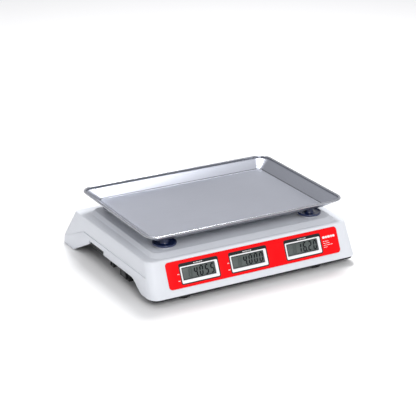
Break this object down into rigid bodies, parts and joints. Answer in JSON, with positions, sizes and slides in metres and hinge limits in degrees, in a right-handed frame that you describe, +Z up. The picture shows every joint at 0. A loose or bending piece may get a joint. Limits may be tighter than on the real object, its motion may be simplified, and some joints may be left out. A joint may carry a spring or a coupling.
{
  "type": "retail price scale",
  "caption": "Counter-top price-computing scale: steel goods tray on a sprung load platform, sloped customer display, operator keypad and displays, levelling feet and side hand grips.",
  "frame": {"origin": "on the counter under the middle of the body", "axes": "+Z up, -Y towards the customer (the red label with the sloped display face), +Y towards the operator (keypad), X along the width"},
  "size_m": [0.3594, 0.3, 0.0998],
  "materials": {
    "housing_white": "satin moulded ABS",
    "pan_black": "fine-textured black ABS",
    "rocker_black": "polished black",
    "label_red": "printed polyester film, semi-gloss",
    "display_glass": "reflective liquid-crystal display behind clear glass",
    "circuit_board": "solder-masked board",
    "battery_case": "matt battery case",
    "load_cell_alloy": "milled",
    "zinc_steel": "zinc-plated steel",
    "cap_blue": "glossy dark blue nylon",
    "tray_steel": "brushed stainless steel",
    "level_fluid": "clear yellow-green fluid under a clear lens",
    "foot_rubber": "matt rubber",
    "foot_screw_black": "black nylon",
    "key_grey": "soft matt silicone-coated keys"
  },
  "bodies": {
    "base": {"base_pan": "pan_black", "top_housing": "housing_white", "battery": "battery_case", "load_cell": "load_cell_alloy", "cell_base_spacer": "zinc_steel", "level_vial": "level_fluid", "power_switch_bezel": "pan_black", "power_inlet": "pan_black", "customer_label": "label_red", "operator_label": "label_red", "customer_display_1": "display_glass", "customer_display_2": "display_glass", "customer_display_3": "display_glass", "operator_display_1": "display_glass", "operator_display_2": "display_glass", "operator_display_3": "display_glass", "customer_board": "circuit_board", "main_board": "circuit_board"},
    "load_platform": {"cell_top_spacer": "zinc_steel", "platform_spider": "zinc_steel", "support_post_front_left": "zinc_steel", "support_post_front_right": "zinc_steel", "support_post_back_left": "zinc_steel", "support_post_back_right": "zinc_steel", "support_cap_front_left": "cap_blue", "support_cap_front_right": "cap_blue", "support_cap_back_left": "cap_blue", "support_cap_back_right": "cap_blue"},
    "goods_tray": {"tray": "tray_steel"},
    "battery_cover": {"battery_door": "pan_black"},
    "power_rocker": {"power_switch_rocker": "rocker_black"},
    "levelling_pad_front_left": {"foot_pad_front_left": "foot_rubber"},
    "levelling_screw_front_left": {"foot_screw_front_left": "foot_screw_black"},
    "levelling_pad_front_right": {"foot_pad_front_right": "foot_rubber"},
    "levelling_screw_front_right": {"foot_screw_front_right": "foot_screw_black"},
    "levelling_pad_back_left": {"foot_pad_back_left": "foot_rubber"},
    "levelling_screw_back_left": {"foot_screw_back_left": "foot_screw_black"},
    "levelling_pad_back_right": {"foot_pad_back_right": "foot_rubber"},
    "levelling_screw_back_right": {"foot_screw_back_right": "foot_screw_black"},
    "key_1_1_cap": {"key_1_1": "key_grey"},
    "key_1_2_cap": {"key_1_2": "key_grey"},
    "key_1_3_cap": {"key_1_3": "key_grey"},
    "key_1_4_cap": {"key_1_4": "key_grey"},
    "key_1_5_cap": {"key_1_5": "key_grey"},
    "key_1_6_cap": {"key_1_6": "key_grey"},
    "key_1_7_cap": {"key_1_7": "key_grey"},
    "key_1_8_cap": {"key_1_8": "key_grey"},
    "key_1_9_cap": {"key_1_9": "key_grey"},
    "key_1_10_cap": {"key_1_10": "key_grey"},
    "key_2_1_cap": {"key_2_1": "key_grey"},
    "key_2_2_cap": {"key_2_2": "key_grey"},
    "key_2_3_cap": {"key_2_3": "key_grey"},
    "key_2_4_cap": {"key_2_4": "key_grey"},
    "key_2_5_cap": {"key_2_5": "key_grey"},
    "key_2_6_cap": {"key_2_6": "key_grey"},
    "key_2_7_cap": {"key_2_7": "key_grey"},
    "key_2_8_cap": {"key_2_8": "key_grey"},
    "key_2_9_cap": {"key_2_9": "key_grey"},
    "key_2_10_cap": {"key_2_10": "key_grey"}
  },
  "joints": [
    {"name": "platform_travel", "type": "slide", "parent": "base", "child": "load_platform", "axis": [0, 0, -1], "range_m": [0, 0.00025], "stiffness_N_per_m": 1200000},
    {"name": "tray_lift", "type": "slide", "parent": "load_platform", "child": "goods_tray", "axis": [0, 0, 1], "range_m": [0, 0.06]},
    {"name": "battery_cover_hinge", "type": "hinge", "parent": "base", "child": "battery_cover", "pos_m": [0, 0.0355, 0.0097], "axis": [-1, 0, 0], "range_deg": [0, 90]},
    {"name": "power_rocker_tilt", "type": "hinge", "parent": "base", "child": "power_rocker", "pos_m": [-0.1635, -0.048, 0.017], "axis": [0, 0, 1], "range_deg": [0, 14]},
    {"name": "levelling_pad_travel_front_left", "type": "slide", "parent": "base", "child": "levelling_pad_front_left", "axis": [0, 0, -1], "range_m": [-0.0018, 0.004]},
    {"name": "levelling_screw_turn_front_left", "type": "hinge", "parent": "levelling_pad_front_left", "child": "levelling_screw_front_left", "pos_m": [-0.112, -0.122, 0.005], "axis": [0, 0, 1], "range_deg": [-518, 1152]},
    {"name": "levelling_pad_travel_front_right", "type": "slide", "parent": "base", "child": "levelling_pad_front_right", "axis": [0, 0, -1], "range_m": [-0.0018, 0.004]},
    {"name": "levelling_screw_turn_front_right", "type": "hinge", "parent": "levelling_pad_front_right", "child": "levelling_screw_front_right", "pos_m": [0.112, -0.122, 0.005], "axis": [0, 0, 1], "range_deg": [-518, 1152]},
    {"name": "levelling_pad_travel_back_left", "type": "slide", "parent": "base", "child": "levelling_pad_back_left", "axis": [0, 0, -1], "range_m": [-0.0018, 0.004]},
    {"name": "levelling_screw_turn_back_left", "type": "hinge", "parent": "levelling_pad_back_left", "child": "levelling_screw_back_left", "pos_m": [-0.112, 0.104, 0.005], "axis": [0, 0, 1], "range_deg": [-518, 1152]},
    {"name": "levelling_pad_travel_back_right", "type": "slide", "parent": "base", "child": "levelling_pad_back_right", "axis": [0, 0, -1], "range_m": [-0.0018, 0.004]},
    {"name": "levelling_screw_turn_back_right", "type": "hinge", "parent": "levelling_pad_back_right", "child": "levelling_screw_back_right", "pos_m": [0.112, 0.104, 0.005], "axis": [0, 0, 1], "range_deg": [-518, 1152]},
    {"name": "key_1_1_press", "type": "slide", "parent": "base", "child": "key_1_1_cap", "axis": [0, -0.8121, -0.5835], "range_m": [0, 0.0012], "stiffness_N_per_m": 700},
    {"name": "key_1_2_press", "type": "slide", "parent": "base", "child": "key_1_2_cap", "axis": [0, -0.8121, -0.5835], "range_m": [0, 0.0012], "stiffness_N_per_m": 700},
    {"name": "key_1_3_press", "type": "slide", "parent": "base", "child": "key_1_3_cap", "axis": [0, -0.8121, -0.5835], "range_m": [0, 0.0012], "stiffness_N_per_m": 700},
    {"name": "key_1_4_press", "type": "slide", "parent": "base", "child": "key_1_4_cap", "axis": [0, -0.8121, -0.5835], "range_m": [0, 0.0012], "stiffness_N_per_m": 700},
    {"name": "key_1_5_press", "type": "slide", "parent": "base", "child": "key_1_5_cap", "axis": [0, -0.8121, -0.5835], "range_m": [0, 0.0012], "stiffness_N_per_m": 700},
    {"name": "key_1_6_press", "type": "slide", "parent": "base", "child": "key_1_6_cap", "axis": [0, -0.8121, -0.5835], "range_m": [0, 0.0012], "stiffness_N_per_m": 700},
    {"name": "key_1_7_press", "type": "slide", "parent": "base", "child": "key_1_7_cap", "axis": [0, -0.8121, -0.5835], "range_m": [0, 0.0012], "stiffness_N_per_m": 700},
    {"name": "key_1_8_press", "type": "slide", "parent": "base", "child": "key_1_8_cap", "axis": [0, -0.8121, -0.5835], "range_m": [0, 0.0012], "stiffness_N_per_m": 700},
    {"name": "key_1_9_press", "type": "slide", "parent": "base", "child": "key_1_9_cap", "axis": [0, -0.8121, -0.5835], "range_m": [0, 0.0012], "stiffness_N_per_m": 700},
    {"name": "key_1_10_press", "type": "slide", "parent": "base", "child": "key_1_10_cap", "axis": [0, -0.8121, -0.5835], "range_m": [0, 0.0012], "stiffness_N_per_m": 700},
    {"name": "key_2_1_press", "type": "slide", "parent": "base", "child": "key_2_1_cap", "axis": [0, -0.8121, -0.5835], "range_m": [0, 0.0012], "stiffness_N_per_m": 700},
    {"name": "key_2_2_press", "type": "slide", "parent": "base", "child": "key_2_2_cap", "axis": [0, -0.8121, -0.5835], "range_m": [0, 0.0012], "stiffness_N_per_m": 700},
    {"name": "key_2_3_press", "type": "slide", "parent": "base", "child": "key_2_3_cap", "axis": [0, -0.8121, -0.5835], "range_m": [0, 0.0012], "stiffness_N_per_m": 700},
    {"name": "key_2_4_press", "type": "slide", "parent": "base", "child": "key_2_4_cap", "axis": [0, -0.8121, -0.5835], "range_m": [0, 0.0012], "stiffness_N_per_m": 700},
    {"name": "key_2_5_press", "type": "slide", "parent": "base", "child": "key_2_5_cap", "axis": [0, -0.8121, -0.5835], "range_m": [0, 0.0012], "stiffness_N_per_m": 700},
    {"name": "key_2_6_press", "type": "slide", "parent": "base", "child": "key_2_6_cap", "axis": [0, -0.8121, -0.5835], "range_m": [0, 0.0012], "stiffness_N_per_m": 700},
    {"name": "key_2_7_press", "type": "slide", "parent": "base", "child": "key_2_7_cap", "axis": [0, -0.8121, -0.5835], "range_m": [0, 0.0012], "stiffness_N_per_m": 700},
    {"name": "key_2_8_press", "type": "slide", "parent": "base", "child": "key_2_8_cap", "axis": [0, -0.8121, -0.5835], "range_m": [0, 0.0012], "stiffness_N_per_m": 700},
    {"name": "key_2_9_press", "type": "slide", "parent": "base", "child": "key_2_9_cap", "axis": [0, -0.8121, -0.5835], "range_m": [0, 0.0012], "stiffness_N_per_m": 700},
    {"name": "key_2_10_press", "type": "slide", "parent": "base", "child": "key_2_10_cap", "axis": [0, -0.8121, -0.5835], "range_m": [0, 0.0012], "stiffness_N_per_m": 700}
  ],
  "couplings": [
    {"joint": "levelling_pad_travel_front_left", "follows": "levelling_screw_turn_front_left", "m_per_rad": 0.00019894},
    {"joint": "levelling_pad_travel_front_right", "follows": "levelling_screw_turn_front_right", "m_per_rad": 0.00019894},
    {"joint": "levelling_pad_travel_back_left", "follows": "levelling_screw_turn_back_left", "m_per_rad": 0.00019894},
    {"joint": "levelling_pad_travel_back_right", "follows": "levelling_screw_turn_back_right", "m_per_rad": 0.00019894}
  ]
}
